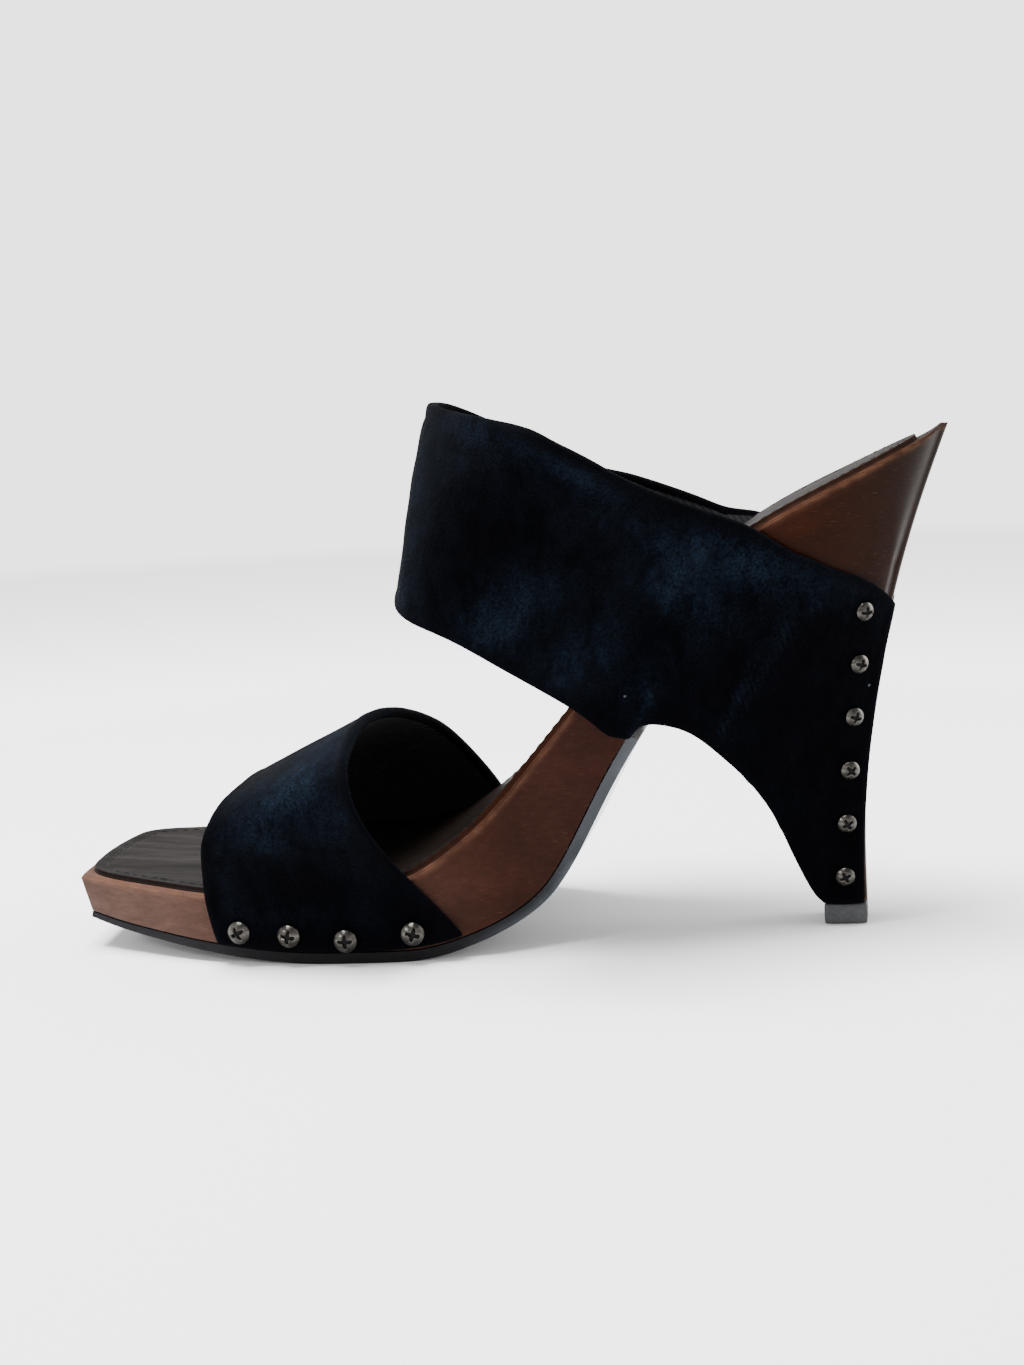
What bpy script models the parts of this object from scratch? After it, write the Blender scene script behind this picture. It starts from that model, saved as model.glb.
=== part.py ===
# Platform sandal with a carved wooden sole, a blade heel and two velvet straps.
# Right shoe. Toe at -X, heel at +X, medial side at -Y, floor at z = 0.
# The origin is on the floor, under the ball of the foot.
import bmesh
import bpy
from math import cos, pi, sin, sqrt
from mathutils import Matrix, Vector

# Driving dimensions, in metres
SOLE_LENGTH = 0.2104            # toe face to the point of the seat
BALL_SHARE = 0.3764             # share of that length in front of the origin
BALL_WIDTH = 0.0800
HEEL_HEIGHT = 0.1178            # floor to the point of the seat
PLATFORM_HEIGHT = 0.0160        # floor to the tread under the ball
TOE_BULGE = 0.0012              # how far the toe face swells forward
BACK_ROUND = 0.0016             # rounding of the heel's back edges
BACK_SWELL = 0.0020             # extra half width halfway down the back
HEEL_HOLLOW = 0.0066            # how far the heel's back line curves in
RIM_BEVEL = 0.0010              # worn edge round the top of the wood
OUTSOLE_THICKNESS = 0.0026
OUTSOLE_WAIST_SLOPE = 0.0018    # how far its side slopes in under the waist
TOP_LIFT_HEIGHT = 0.0050
TOP_LIFT_BEVEL = 0.0006
INSOLE_THICKNESS = 0.0009
INSOLE_INSET = 0.0015           # wood left bare round the insole
INSOLE_CORNER = 0.0070          # radius of the insole's corners
INSOLE_HEEL_STOP = 0.0070       # bare wood in front of the seat's point
INSOLE_TRIM_LIMIT = 0.6         # most of the half width that the insole leaves bare
STRAP_THICKNESS = 0.0023
FRONT_STRAP_RISE = 0.0410       # tread to the top of the front strap
INSTEP_STRAP_RISE = 0.0106      # seat's point to the instep strap's top edge
SCREW_RADIUS = 0.00265
SCREW_HEIGHT = 0.0012
SCREW_RECESS = 0.0006
FIT_GAP = 0.0003                # between pieces that touch

# Where the shares of the tables below are taken from
RISE = HEEL_HEIGHT - PLATFORM_HEIGHT
UNDERSIDE = OUTSOLE_THICKNESS + FIT_GAP
HEEL_TIP = TOP_LIFT_HEIGHT + FIT_GAP
WALL = FIT_GAP + STRAP_THICKNESS

# Frames of the wood, toe to heel: upper and lower edge seen from the side, as shares
# of the length and of the rise, then half widths as shares of the ball width, then
# the share of the heel's hollow. The last three stand on the top lift.
SOLE_COLUMNS = ("top_along", "top_up", "low_along", "low_up", "medial_top",
                "lateral_top", "medial_low", "lateral_low", "hollow")
SOLE_ROWS = (
    (0.000, 0.026, 0.010, 0.062, 0.300, 0.300, 0.285, 0.285, 0.00),
    (0.044, 0.019, 0.050, 0.048, 0.350, 0.346, 0.338, 0.335, 0.00),
    (0.106, 0.012, 0.110, 0.033, 0.415, 0.408, 0.405, 0.398, 0.00),
    (0.172, 0.005, 0.174, 0.020, 0.475, 0.465, 0.467, 0.457, 0.00),
    (0.234, 0.000, 0.234, 0.007, 0.493, 0.493, 0.487, 0.487, 0.00),
    (0.291, 0.000, 0.291, 0.000, 0.498, 0.508, 0.493, 0.503, 0.00),
    (0.348, 0.006, 0.343, 0.000, 0.492, 0.512, 0.488, 0.508, 0.00),
    (0.400, 0.037, 0.405, 0.000, 0.475, 0.504, 0.472, 0.501, 0.00),
    (0.443, 0.087, 0.457, 0.021, 0.442, 0.482, 0.434, 0.478, 0.00),
    (0.481, 0.150, 0.505, 0.059, 0.388, 0.450, 0.385, 0.443, 0.00),
    (0.522, 0.241, 0.544, 0.112, 0.328, 0.412, 0.310, 0.402, 0.00),
    (0.568, 0.352, 0.582, 0.241, 0.289, 0.372, 0.268, 0.357, 0.00),
    (0.616, 0.468, 0.620, 0.386, 0.264, 0.338, 0.240, 0.320, 0.00),
    (0.660, 0.569, 0.664, 0.494, 0.266, 0.317, 0.232, 0.287, 0.00),
    (0.704, 0.657, 0.709, 0.459, 0.284, 0.310, 0.216, 0.247, 0.00),
    (0.747, 0.729, 0.747, 0.386, 0.303, 0.307, 0.190, 0.205, 0.00),
    (0.790, 0.790, 0.778, 0.313, 0.316, 0.308, 0.156, 0.162, 0.02),
    (0.838, 0.843, 0.804, 0.217, 0.312, 0.303, 0.119, 0.121, 0.10),
    (0.885, 0.888, 0.828, 0.094, 0.275, 0.269, 0.090, 0.090, 0.25),
    (0.925, 0.926, 0.850, 0.000, 0.213, 0.213, 0.075, 0.075, 0.46),
    (0.963, 0.963, 0.876, 0.000, 0.144, 0.144, 0.075, 0.075, 0.73),
    (1.000, 1.000, 0.899, 0.000, 0.050, 0.050, 0.069, 0.069, 1.00),
)
TIP_FRAMES = 3
LAST_FRAME = len(SOLE_ROWS) - 1
STEPS_PER_FRAME = 2
SIDE_LEVELS = 8
ACROSS_LEVELS = 4
INSOLE_STEPS = 36
FRAME_HALVINGS = 40             # steps of the search for a frame by its place
OUTSOLE_END = 12.5              # frame at the heel's breast
# Outsole by frame: share of its thickness, then of its slope
OUTSOLE_ROWS = (
    (0.52, 0.0), (0.62, 0.0), (0.72, 0.0), (0.84, 0.0), (0.94, 0.0), (1.0, 0.0), (1.0, 0.0),
    (1.0, 0.1), (1.0, 0.5), (1.0, 0.9), (1.0, 1.0), (1.0, 1.0), (1.0, 0.9), (1.0, 0.8),
)
SHARP_ANGLE = pi / 5

# Front strap where it lies on the wood: depth down the side, then the frames of its
# front and rear edge on the medial and on the lateral side
FRONT_SIDE_ROWS = (
    (0.97, 3.20, 8.05, 3.20, 8.75),
    (0.65, 3.12, 7.75, 3.12, 8.60),
    (0.30, 3.07, 7.40, 3.07, 8.35),
    (0.00, 3.04, 7.08, 3.04, 8.10),
)
# Front strap above the wood, medial to lateral: front edge, then rear edge, each along
# and across as shares of the sole's length and ball width, and up as a share of the rise
FRONT_TOP_ROWS = (
    (-0.200, -0.546, 0.20, 0.007, -0.588, 0.29),
    (-0.196, -0.570, 0.35, -0.010, -0.640, 0.50),
    (-0.190, -0.540, 0.46, -0.019, -0.648, 0.67),
    (-0.187, -0.445, 0.53, -0.026, -0.590, 0.81),
    (-0.187, -0.300, 0.55, -0.031, -0.425, 0.91),
    (-0.188, -0.156, 0.56, -0.032, -0.250, 0.955),
    (-0.190, 0.000, 0.55, -0.022, -0.060, 0.955),
    (-0.192, 0.150, 0.51, -0.004, 0.125, 0.88),
    (-0.194, 0.290, 0.45, 0.015, 0.280, 0.76),
    (-0.197, 0.405, 0.36, 0.036, 0.400, 0.58),
    (-0.199, 0.478, 0.22, 0.060, 0.490, 0.36),
)
FRONT_STRAP_LEVELS = 6

# Wings of the instep strap on the heel: frame, depth of the lower and the upper edge
WING_ROWS = (
    (20.85, 0.997, 0.355),
    (20.0, 0.997, 0.300),
    (19.0, 0.995, 0.245),
    (18.0, 0.992, 0.205),
    (17.0, 0.990, 0.140),
)
# Instep strap where only its lower edge lies on the wood: frame and depth of that edge,
# then the upper edge on the medial and on the lateral side: along, across, up
WAIST_ROWS = (
    (16.0, 0.990, 0.413, -0.352, 0.723, 0.413, 0.344, 0.719),
    (15.0, 0.990, 0.370, -0.395, 0.757, 0.370, 0.375, 0.728),
    (14.0, 0.990, 0.332, -0.460, 0.790, 0.332, 0.395, 0.761),
    (13.0, 1.050, 0.297, -0.555, 0.828, 0.288, 0.405, 0.793),
    (12.5, 1.020, 0.271, -0.630, 0.860, 0.255, 0.405, 0.815),
    (12.0, 0.660, 0.237, -0.660, 0.897, 0.224, 0.400, 0.830),
    (11.4, 0.050, 0.198, -0.675, 0.938, 0.198, 0.392, 0.845),
)
# Free loop of the instep strap, medial to lateral: lower edge, upper edge, and how far
# the band swells between them as a share of the ball width
LOOP_ROWS = (
    (0.150, -0.537, 0.464, 0.147, -0.560, 0.966, 0.095),
    (0.098, -0.625, 0.538, 0.104, -0.425, 0.981, 0.100),
    (0.056, -0.610, 0.572, 0.070, -0.285, 0.996, 0.052),
    (0.033, -0.510, 0.590, 0.053, -0.130, 1.000, 0.012),
    (0.018, -0.340, 0.600, 0.057, 0.000, 0.995, 0.008),
    (0.012, -0.155, 0.620, 0.078, 0.125, 0.972, 0.010),
    (0.017, 0.030, 0.636, 0.109, 0.230, 0.937, 0.012),
    (0.035, 0.200, 0.608, 0.135, 0.305, 0.905, 0.016),
    (0.069, 0.345, 0.525, 0.157, 0.355, 0.880, 0.024),
    (0.138, 0.425, 0.409, 0.177, 0.382, 0.861, 0.020),
)
LOOP_CENTRE = 0.143             # middle of the loop, along the sole
LOOP_ACROSS = -0.130            # and across it
# How the strap leaves the rim at the waist, as shares of its free width: on in line with
# the wood's side, and outward
WAIST_RISING = 0.38
WAIST_OUTWARD = 0.22
INSTEP_STRAP_LEVELS = 8

# Screws: frame and depth of each on the wood's side
FRONT_SCREWS = ((3.67, 0.63), (4.64, 0.64), (5.80, 0.74), (7.04, 0.73))
HEEL_SCREW_FRAMES = (19.38, 19.93)
HEEL_SCREW_FIRST = 0.330
HEEL_SCREW_LAST = 0.930
HEEL_SCREW_COUNT = 6
SCREW_SIDES = 12
# Screw head as shares of its radius and height: the cross's half arm and reach, the
# shoulder of the dome, and how much narrower the recess is at its floor
SCREW_ARM = 0.16
SCREW_REACH = 0.52
SCREW_SHOULDER = 0.93
SCREW_SHOULDER_UP = 0.55
SCREW_FLOOR = 0.75

SIDES = (("medial", -1), ("lateral", 1))


def sole_columns():
    # Real values of each column of the sole's table
    columns = {}
    for number, name in enumerate(SOLE_COLUMNS):
        shares = [row[number] for row in SOLE_ROWS]
        if name.endswith("along"):
            columns[name] = [SOLE_LENGTH * (share - BALL_SHARE) for share in shares]
        elif name == "top_up":
            columns[name] = [PLATFORM_HEIGHT + RISE * share for share in shares]
        elif name == "low_up":
            columns[name] = [UNDERSIDE + RISE * share for share in shares]
            columns[name][-TIP_FRAMES:] = [HEEL_TIP] * TIP_FRAMES
        elif name == "hollow":
            columns[name] = shares
        else:
            columns[name] = [BALL_WIDTH * share for share in shares]
    return columns


SOLE = sole_columns()


def arch(share):
    # 0 at both ends and 1 in the middle
    return 4 * share * (1 - share)


def smooth(column, frame):
    # Value between the rows, on a cubic that never overshoots them
    last = len(column) - 1
    row = min(int(frame), last - 1)
    part = frame - row

    def slope(index):
        before = column[max(index, 1)] - column[max(index, 1) - 1]
        after = column[min(index, last - 1) + 1] - column[min(index, last - 1)]
        if before * after <= 0:
            return 0.0
        return 2 * before * after / (before + after)

    step = column[row + 1] - column[row]
    start, end = slope(row), slope(row + 1)
    bend = 3 * step - 2 * start - end + part * (start + end - 2 * step)
    return column[row] + part * (start + part * bend)


def side_point(frame, depth, side):
    # Point on the wood's side; depth is 0 at the rim and 1 at the lower edge
    value = {name: smooth(SOLE[name], frame) for name in SOLE_COLUMNS}
    belly = arch(depth) * value["hollow"]
    name = "medial" if side < 0 else "lateral"
    half = value[name + "_top"] * (1 - depth) + value[name + "_low"] * depth
    x = value["top_along"] * (1 - depth) + value["low_along"] * depth
    z = value["top_up"] * (1 - depth) + value["low_up"] * depth
    return Vector((x - HEEL_HOLLOW * belly, side * (half + BACK_SWELL * belly), z))


def side_normal(frame, depth, side):
    # Outward direction of the wood's side
    reach, dip = 0.1, 0.05
    ahead = side_point(max(frame - reach, 0), depth, side)
    behind = side_point(min(frame + reach, LAST_FRAME), depth, side)
    above = side_point(frame, depth - dip, side)
    below = side_point(frame, depth + dip, side)
    normal = (behind - ahead).cross(below - above).normalized()
    return normal if normal.y * side > 0 else -normal


def edge_normal(kind, frame):
    # Direction, seen from the side, that points away from the wood at its upper edge
    # (kind "top") or its lower edge (kind "low")
    reach = 0.05
    ahead, behind = max(frame - reach, 0), min(frame + reach, LAST_FRAME)
    run = smooth(SOLE[kind + "_along"], behind) - smooth(SOLE[kind + "_along"], ahead)
    climb = smooth(SOLE[kind + "_up"], behind) - smooth(SOLE[kind + "_up"], ahead)
    away = Vector((-climb, 0, run)).normalized()
    return away if kind == "top" else -away


def frame_at(x):
    # Frame whose upper edge is at x
    low, high = 0.0, float(LAST_FRAME)
    for _ in range(FRAME_HALVINGS):
        middle = (low + high) / 2
        if smooth(SOLE["top_along"], middle) < x:
            low = middle
        else:
            high = middle
    return low


def add_material(name, colour, roughness, metallic=0.0):
    material = bpy.data.materials.new(name)
    material.use_nodes = True
    shader = material.node_tree.nodes["Principled BSDF"]
    shader.inputs["Base Color"].default_value = (*colour, 1)
    shader.inputs["Roughness"].default_value = roughness
    shader.inputs["Metallic"].default_value = metallic
    material.diffuse_color = (*colour, 1)
    return material


def add_object(name, mesh, material):
    if not mesh.materials:
        mesh.materials.append(material)
    item = bpy.data.objects.new(name, mesh)
    bpy.context.scene.collection.objects.link(item)
    return item


def add_block(name, counts, point, material):
    # Closed solid made of the six outer faces of a lattice of points
    shape = bmesh.new()
    corners = {}

    def corner(place):
        if place not in corners:
            corners[place] = shape.verts.new(point(*place))
        return corners[place]

    for axis in range(3):
        first, second = [other for other in range(3) if other != axis]
        for level in (0, counts[axis]):
            for a in range(counts[first]):
                for b in range(counts[second]):
                    places = []
                    for da, db in ((0, 0), (1, 0), (1, 1), (0, 1)):
                        place = [0, 0, 0]
                        place[axis] = level
                        place[first] = a + da
                        place[second] = b + db
                        places.append(tuple(place))
                    shape.faces.new([corner(place) for place in places])
    bmesh.ops.recalc_face_normals(shape, faces=shape.faces)
    mesh = bpy.data.meshes.new(name)
    shape.to_mesh(mesh)
    shape.free()
    mesh.shade_smooth()
    mesh.set_sharp_from_angle(angle=SHARP_ANGLE)
    return add_object(name, mesh, material)


def add_wood_sole(material):
    # The station after the last is the back face, narrower by its rounded edges
    last = LAST_FRAME * STEPS_PER_FRAME

    def point(station, level, across):
        frame = min(station, last) / STEPS_PER_FRAME
        share = across / ACROSS_LEVELS
        height = side_point(frame, 0, 1).z - side_point(frame, 1, 1).z
        bevel_depth = RIM_BEVEL / height
        depth = 0.0
        if level:
            depth = bevel_depth + (1 - bevel_depth) * (level - 1) / (SIDE_LEVELS - 1)
        medial = side_point(frame, depth, -1)
        lateral = side_point(frame, depth, 1)
        trim = RIM_BEVEL * (level == 0) + BACK_ROUND * (station > last)
        medial.y += trim
        lateral.y -= trim
        place = medial.lerp(lateral, share)
        if station == 0:
            place.x += RIM_BEVEL * (level == 0) - TOE_BULGE * arch(share)
        if station == last:
            place.x -= BACK_ROUND
        return place

    counts = (last + 1, SIDE_LEVELS, ACROSS_LEVELS)
    return add_block("wood_sole", counts, point, material)


def add_outsole(material):
    stations = int(OUTSOLE_END * STEPS_PER_FRAME)
    thicknesses, slopes = zip(*OUTSOLE_ROWS)

    def point(station, level, across):
        frame = OUTSOLE_END * station / stations
        share = across / ACROSS_LEVELS
        medial, lateral = side_point(frame, 1, -1), side_point(frame, 1, 1)
        slope = OUTSOLE_WAIST_SLOPE * level * smooth(slopes, frame)
        medial.y += slope
        lateral.y -= slope
        place = medial.lerp(lateral, share)
        thickness = OUTSOLE_THICKNESS * smooth(thicknesses, frame)
        place += edge_normal("low", frame) * (FIT_GAP + thickness * level)
        if station == 0:
            place.x -= TOE_BULGE * arch(share)
        return place

    return add_block("outsole", (stations, 1, ACROSS_LEVELS), point, material)


def add_top_lift(material):
    stations = TIP_FRAMES - 1

    def point(station, level, across):
        share = across / 2
        frame = LAST_FRAME - stations + station
        place = side_point(frame, 1, -1).lerp(side_point(frame, 1, 1), share)
        place.z = TOP_LIFT_HEIGHT * level
        return place

    lift = add_block("top_lift", (stations, 1, 2), point, material)
    bevel = lift.modifiers.new("Rounded edges", "BEVEL")
    bevel.width = TOP_LIFT_BEVEL
    bevel.segments = 2
    bevel.limit_method = "ANGLE"
    return lift


def add_insole(material):
    start = SOLE["top_along"][0] + INSOLE_INSET
    end = SOLE["top_along"][-1] - INSOLE_HEEL_STOP
    corner = [0.0, 0.05, 0.2, 0.5, 1.0]
    places = [start + INSOLE_CORNER * share for share in corner]
    straight = end - start - 2 * INSOLE_CORNER
    for number in range(1, INSOLE_STEPS):
        places.append(start + INSOLE_CORNER + straight * number / INSOLE_STEPS)
    places += [end - INSOLE_CORNER * share for share in reversed(corner)]

    def point(station, level, across):
        x = places[station]
        frame = frame_at(x)
        share = across / ACROSS_LEVELS
        near_end = min(x - start, end - x, INSOLE_CORNER) / INSOLE_CORNER
        trim = INSOLE_INSET + INSOLE_CORNER * (1 - sqrt(max(0, 1 - (1 - near_end) ** 2)))
        medial, lateral = side_point(frame, 0, -1), side_point(frame, 0, 1)
        trim = min(trim, INSOLE_TRIM_LIMIT * lateral.y)
        medial.y += trim
        lateral.y -= trim
        place = medial.lerp(lateral, share)
        place += edge_normal("top", frame) * (FIT_GAP + INSOLE_THICKNESS * level)
        if x == start:
            place.x -= TOE_BULGE * arch(share)
        return place

    return add_block("insole", (len(places) - 1, 1, ACROSS_LEVELS), point, material)


def refine(rows, fixed):
    # Adds a row halfway between each two, on a smooth curve through their neighbours;
    # fixed gives the middle row where the strap lies on the wood
    finer = []
    last = len(rows) - 1
    for number in range(last):
        finer.append(rows[number])
        if number in fixed:
            finer.append(fixed[number])
            continue
        four = [rows[min(max(number + shift, 0), last)] for shift in (-1, 0, 1, 2)]
        finer.append([(9 * b + 9 * c - a - d) / 16 for a, b, c, d in zip(*four)])
    finer.append(rows[last])
    return finer


def add_strap(name, rows, material):
    # Wall of even thickness inside a grid of outer points
    last_row, last_level = len(rows) - 1, len(rows[0]) - 1

    def outward(row, level):
        along = rows[min(row + 1, last_row)][level] - rows[max(row - 1, 0)][level]
        over = rows[row][min(level + 1, last_level)] - rows[row][max(level - 1, 0)]
        return over.cross(along).normalized()

    def point(row, level, layer):
        return rows[row][level] - outward(row, level) * STRAP_THICKNESS * layer

    return add_block(name, (last_row, last_level, 1), point, material)


def on_wood(frame, depth, side):
    # Outer face of a strap that lies on the wood
    return side_point(frame, depth, side) + side_normal(frame, depth, side) * WALL


def add_front_strap(material):
    levels = [number / FRONT_STRAP_LEVELS for number in range(FRONT_STRAP_LEVELS + 1)]

    def side_row(row, side):
        depth = row[0]
        front, rear = row[1:3] if side < 0 else row[3:5]
        return [on_wood(front + (rear - front) * share, depth, side) for share in levels]

    def top_row(row):
        scale = (SOLE_LENGTH, BALL_WIDTH, FRONT_STRAP_RISE)
        edges = []
        for shares in (row[:3], row[3:]):
            edge = Vector([share * size for share, size in zip(shares, scale)])
            edge.z += PLATFORM_HEIGHT
            edges.append(edge)
        return [edges[0].lerp(edges[1], share) for share in levels]

    medial = [side_row(row, -1) for row in FRONT_SIDE_ROWS]
    lateral = [side_row(row, 1) for row in reversed(FRONT_SIDE_ROWS)]
    over = refine([medial[-1]] + [top_row(row) for row in FRONT_TOP_ROWS] + [lateral[0]], {})
    return add_strap("front_strap", medial[:-1] + over + lateral[1:], material)


def loop_point(along, across, up):
    # Point given in shares of the sole's length, ball width and the strap's height
    top = HEEL_HEIGHT + INSTEP_STRAP_RISE
    return Vector((along * SOLE_LENGTH, across * BALL_WIDTH,
                   PLATFORM_HEIGHT + up * (top - PLATFORM_HEIGHT)))


def wing_row(frame, lower, upper, side):
    levels = INSTEP_STRAP_LEVELS
    return [on_wood(frame, lower + (upper - lower) * number / levels, side)
            for number in range(levels + 1)]


def waist_row(row, side):
    # Lower part on the wood, then a curve that leaves the rim for the upper edge
    frame, lower = row[:2]
    top = loop_point(*(row[2:5] if side < 0 else row[5:8]))
    rim = on_wood(frame, 0, side)
    foot = on_wood(frame, lower, side)
    held = (rim - foot).length
    free = (top - rim).length
    rising = (side_point(frame, 0, side) - side_point(frame, 1, side)).normalized()
    outward = side_normal(frame, 0, side)
    handle = rim + (rising * WAIST_RISING + outward * WAIST_OUTWARD) * free
    points = []
    for number in range(INSTEP_STRAP_LEVELS + 1):
        distance = (held + free) * number / INSTEP_STRAP_LEVELS
        if distance < held:
            points.append(on_wood(frame, lower * (1 - distance / held), side))
            continue
        part = (distance - held) / free
        points.append(rim.lerp(handle, part).lerp(handle.lerp(top, part), part))
    return points


def loop_row(row):
    # Free stretch of the band, swollen away from the middle of the loop
    lower, upper = loop_point(*row[:3]), loop_point(*row[3:6])
    middle = (lower + upper) / 2
    away = middle - Vector((LOOP_CENTRE * SOLE_LENGTH, LOOP_ACROSS * BALL_WIDTH, middle.z))
    swell = away.normalized() * row[6] * BALL_WIDTH
    shares = [number / INSTEP_STRAP_LEVELS for number in range(INSTEP_STRAP_LEVELS + 1)]
    return [lower.lerp(upper, share) + swell * arch(share) for share in shares]


def add_instep_strap(material):
    halves = []
    for _, side in SIDES:
        held = [wing_row(*row, side) for row in WING_ROWS]
        between = {}
        for number, (row, following) in enumerate(zip(WING_ROWS, WING_ROWS[1:])):
            middle = [(a + b) / 2 for a, b in zip(row, following)]
            between[number] = wing_row(*middle, side)
        waist = [waist_row(row, side) for row in WAIST_ROWS]
        for number, (row, following) in enumerate(zip(WAIST_ROWS, WAIST_ROWS[1:]), len(held)):
            middle = [(a + b) / 2 for a, b in zip(row, following)]
            between[number] = waist_row(middle, side)
        halves.append((held + waist, between))
    medial, lateral = halves
    loop = [loop_row(row) for row in LOOP_ROWS]
    rows = medial[0] + loop + lateral[0][::-1]
    fixed = dict(medial[1])
    for number, row in lateral[1].items():
        fixed[len(rows) - 2 - number] = row
    return add_strap("instep_strap", refine(rows, fixed), material)


def screw_mesh():
    # Domed head with a cross recess, its flat back at z = 0
    shape = bmesh.new()
    arm, reach = SCREW_ARM * SCREW_RADIUS, SCREW_REACH * SCREW_RADIUS
    cross = []
    for quarter in range(4):
        turn = Matrix.Rotation(quarter * pi / 2, 3, "Z")
        for x, y in ((reach, -arm), (reach, arm), (arm, arm)):
            cross.append(turn @ Vector((x, y, 0)))
    first = 2 * pi / SCREW_SIDES
    angles = [first * (number - 0.5) for number in range(SCREW_SIDES)]
    circle = [Vector((cos(angle), sin(angle), 0)) * SCREW_RADIUS for angle in angles]
    up = Vector((0, 0, SCREW_HEIGHT))
    rings = [
        circle,
        [place * SCREW_SHOULDER + up * SCREW_SHOULDER_UP for place in circle],
        [place + up for place in cross],
        [place * SCREW_FLOOR + up - Vector((0, 0, SCREW_RECESS)) for place in cross],
    ]
    rings = [[shape.verts.new(place) for place in ring] for ring in rings]
    for lower, upper in zip(rings, rings[1:]):
        for number in range(SCREW_SIDES):
            following = (number + 1) % SCREW_SIDES
            shape.faces.new((lower[number], lower[following], upper[following], upper[number]))
    shape.faces.new(rings[0][::-1])
    shape.faces.new(rings[-1])
    bmesh.ops.recalc_face_normals(shape, faces=shape.faces)
    mesh = bpy.data.meshes.new("screw")
    shape.to_mesh(mesh)
    shape.free()
    mesh.shade_smooth()
    mesh.set_sharp_from_angle(angle=SHARP_ANGLE)
    return mesh


def add_screws(material):
    mesh = screw_mesh()
    spread = (HEEL_SCREW_LAST - HEEL_SCREW_FIRST) / (HEEL_SCREW_COUNT - 1)
    heel = []
    for number in range(HEEL_SCREW_COUNT):
        above = 1 - number / (HEEL_SCREW_COUNT - 1)
        frame = HEEL_SCREW_FRAMES[1] + (HEEL_SCREW_FRAMES[0] - HEEL_SCREW_FRAMES[1]) * above ** 2
        heel.append((frame, HEEL_SCREW_FIRST + spread * number))
    for row_name, places in (("front", FRONT_SCREWS), ("heel", heel)):
        for side_name, side in SIDES:
            for number, (frame, depth) in enumerate(places, 1):
                name = f"{row_name}_screw_{side_name}_{number}"
                screw = add_object(name, mesh, material)
                out = side_normal(frame, depth, side)
                place = side_point(frame, depth, side) + out * (WALL + FIT_GAP)
                turn = out.to_track_quat("Z", "Y").to_matrix().to_4x4()
                screw.matrix_world = Matrix.Translation(place) @ turn


def main():
    for item in list(bpy.data.objects):
        bpy.data.objects.remove(item, do_unlink=True)
    wood = add_material("wood", (0.105, 0.045, 0.026), 0.35)
    rubber = add_material("sole_black", (0.010, 0.010, 0.012), 0.30)
    lift = add_material("lift_rubber", (0.020, 0.020, 0.023), 0.60)
    leather = add_material("insole_leather", (0.018, 0.017, 0.018), 0.40)
    velvet = add_material("velvet", (0.004, 0.004, 0.007), 0.95)
    nickel = add_material("nickel", (0.32, 0.31, 0.29), 0.30, 1.0)
    add_wood_sole(wood)
    add_outsole(rubber)
    add_top_lift(lift)
    add_insole(leather)
    add_front_strap(velvet)
    add_instep_strap(velvet)
    add_screws(nickel)


main()
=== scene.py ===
from math import cos, pi, radians, sin

import bmesh
import bpy
import numpy as np
from mathutils import Matrix, Vector
from mathutils.bvhtree import BVHTree
from mathutils.kdtree import KDTree


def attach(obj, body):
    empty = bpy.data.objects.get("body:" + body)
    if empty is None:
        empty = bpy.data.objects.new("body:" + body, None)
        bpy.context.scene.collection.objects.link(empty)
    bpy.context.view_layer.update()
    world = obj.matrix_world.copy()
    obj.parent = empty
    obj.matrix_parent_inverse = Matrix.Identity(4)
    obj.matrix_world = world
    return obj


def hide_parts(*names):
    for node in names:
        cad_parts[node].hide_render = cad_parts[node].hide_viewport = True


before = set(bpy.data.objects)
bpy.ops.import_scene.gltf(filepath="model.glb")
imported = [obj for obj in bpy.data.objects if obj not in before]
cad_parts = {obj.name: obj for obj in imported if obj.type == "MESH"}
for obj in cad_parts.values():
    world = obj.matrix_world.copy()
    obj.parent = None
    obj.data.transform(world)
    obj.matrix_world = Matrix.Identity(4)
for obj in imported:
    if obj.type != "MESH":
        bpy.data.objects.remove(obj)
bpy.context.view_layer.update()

# What to change, in millimetres where nothing else is said. Toe at -X, heel at +X,
# medial side at -Y.
view = {
    "place": (115.7, -519.0, 135.0),
    "aim": (25.8, 0.0, 59.5),
    "turn": -2.86,          # degrees of roll
    "lens": 57.6,
}
wood = {
    "sharp": 28,            # degrees, edges above this are rounded
    "edgeWidth": 0.45,      # rounding of the edges
    "levels": 2,
    "edgeBandWidth": 0.7,       # how far the lighter edge band, worn edge and painted highlight, reaches in
    "hiddenGap": 1.3,       # an edge nearer than this to the next sub-part, where shade falls, gets no lighter band
    "spineWidth": 1.9,      # rounding down the back of the heel
    "spineFrom": 75.0,      # along, where the heel's steep edges begin
    "edgeBandOffFrom": ("outsole", "front_strap", "instep_strap"),
}
rubber = {
    "sharp": 50,
    "edgeWidth": 1.1,
    "levels": 2,
    "edgeBandWidth": 1.9,
    "hiddenGap": 1.3,
    "edgeBandOffFrom": ("wood_sole",),
}
lift = {"sharp": 20, "edgeWidth": 0.15, "levels": 1, "edgeBandWidth": 1.5}
insole = {
    "sharp": 50,
    "edgeWidth": 0.35,
    "levels": 2,
    "edgeBandWidth": 0.8,
    "stitchInset": 2.8,
    "stitchPitch": 2.9,
    "stitchLength": 2.3,
    "stitchRadius": 0.22,
    "stitchSunk": 0.04,
    "grooveDepth": 0.22,
    "grooveWidth": 0.7,
    "borderInset": 2.6,     # the pressed border reaches this far in, then fades
    "borderFade": 0.7,
    "bedded": 0.55,         # how far the underside reaches into the wood
}
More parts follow.
